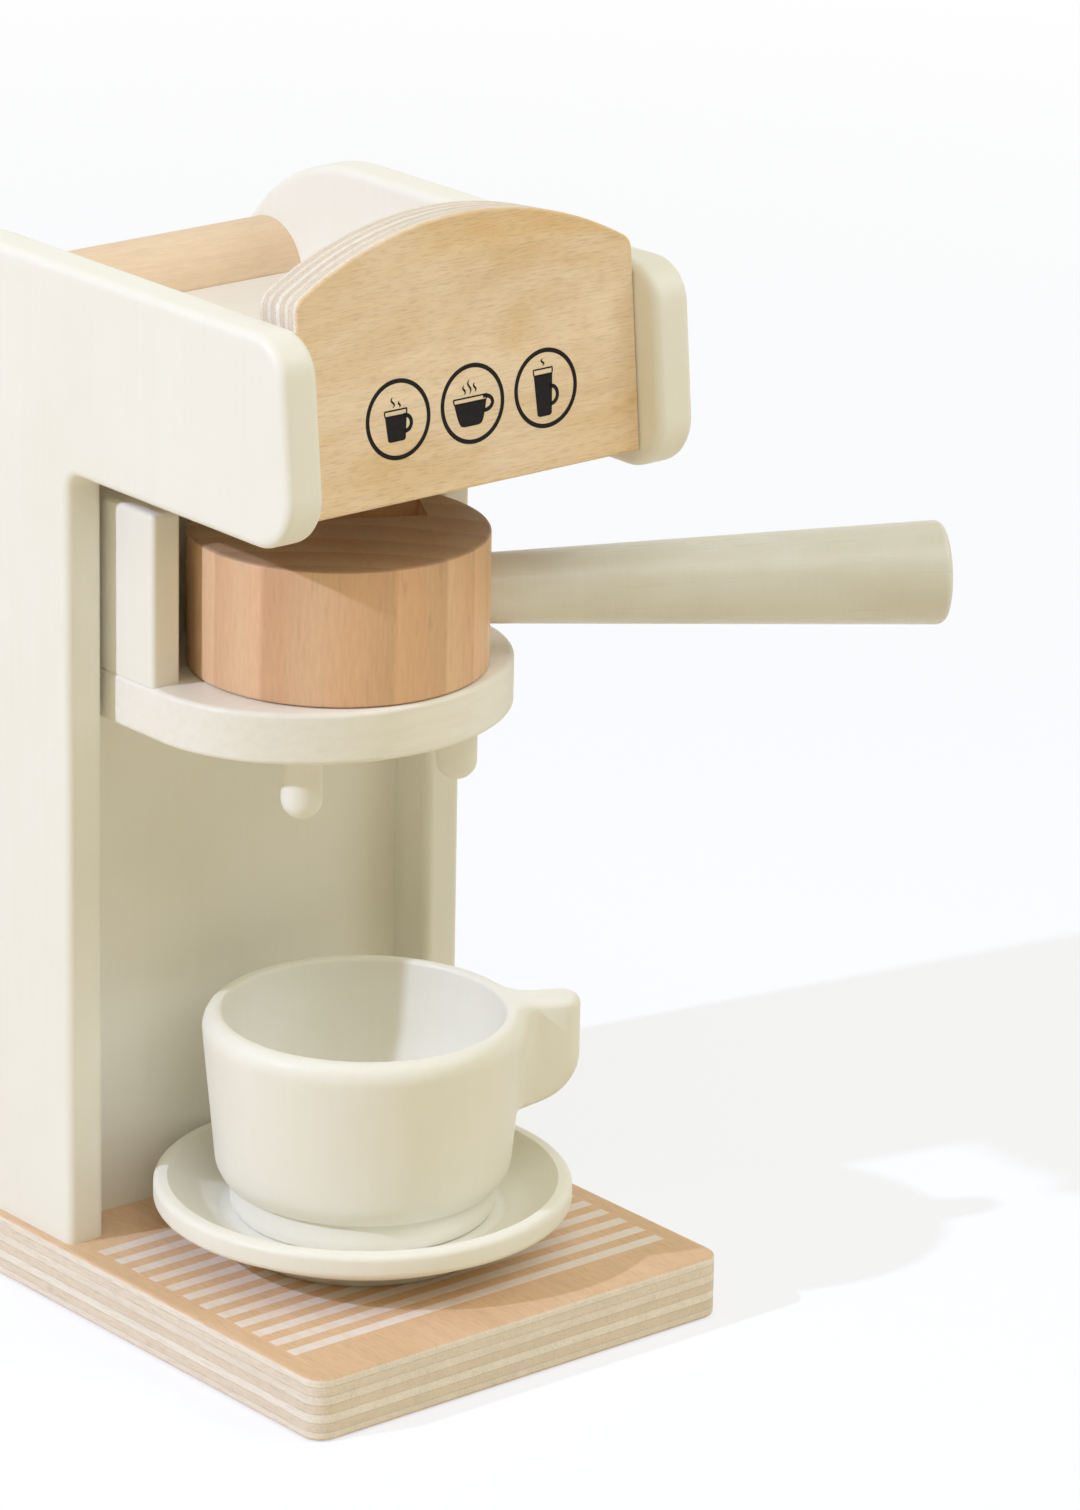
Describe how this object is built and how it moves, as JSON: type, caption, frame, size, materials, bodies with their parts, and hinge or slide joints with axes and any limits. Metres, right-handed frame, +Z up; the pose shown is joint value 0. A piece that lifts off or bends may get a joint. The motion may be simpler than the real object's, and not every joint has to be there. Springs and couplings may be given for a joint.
{
  "type": "toy coffee maker",
  "caption": "Wooden toy espresso machine with a swinging portafilter over two spouts, a cup tray on top, and a loose cup and saucer on its base.",
  "frame": {"origin": "centre of the base board's underside", "axes": "+Z up, -Y to the front of the machine, +X to the right as seen from the front"},
  "size_m": [0.1852, 0.1874, 0.2651],
  "materials": {
    "cream_paint": "satin cream paint on wood",
    "panel_plywood": "clear matt varnish on birch plywood",
    "base_plywood": "clear matt varnish on birch plywood",
    "pale_board": "satin pale paint on wood",
    "rail_wood": "clear matt varnish on birch",
    "block_wood": "clear matt varnish on beech",
    "handle_paint": "satin greige paint on wood",
    "cup_paint": "satin cream paint on wood",
    "pin_wood": "bare beech dowel",
    "screw_steel": "zinc-plated steel"
  },
  "bodies": {
    "stand": {"base": "base_plywood", "left_side": "cream_paint", "right_side": "cream_paint", "inner_wall": "cream_paint", "front_panel": "panel_plywood", "top_board": "pale_board", "rear_rail": "rail_wood", "shelf": "pale_board", "left_guide": "cream_paint", "right_guide": "cream_paint", "left_spout": "cream_paint", "right_spout": "cream_paint", "base_screws": "screw_steel", "inner_wall_pins": "pin_wood", "top_board_pins": "pin_wood", "front_panel_pins": "pin_wood", "rear_rail_pins": "pin_wood", "shelf_pins": "pin_wood", "guide_pins": "pin_wood"},
    "portafilter": {"portafilter_block": "block_wood", "portafilter_handle": "handle_paint"},
    "saucer": {"saucer": "cup_paint"},
    "cup": {"cup": "cup_paint"}
  },
  "joints": [
    {"name": "portafilter_swing", "type": "hinge", "parent": "stand", "child": "portafilter", "pos_m": [0, -0.0192, 0.152], "axis": [0, 0, 1], "range_deg": [-145, 25]},
    {"name": "saucer_slide", "type": "slide", "parent": "stand", "child": "saucer", "axis": [0, -1, 0], "range_m": [0, 0.105]},
    {"name": "cup_lift", "type": "slide", "parent": "saucer", "child": "cup", "axis": [0, 0, 1], "range_m": [0, 0.045]}
  ]
}
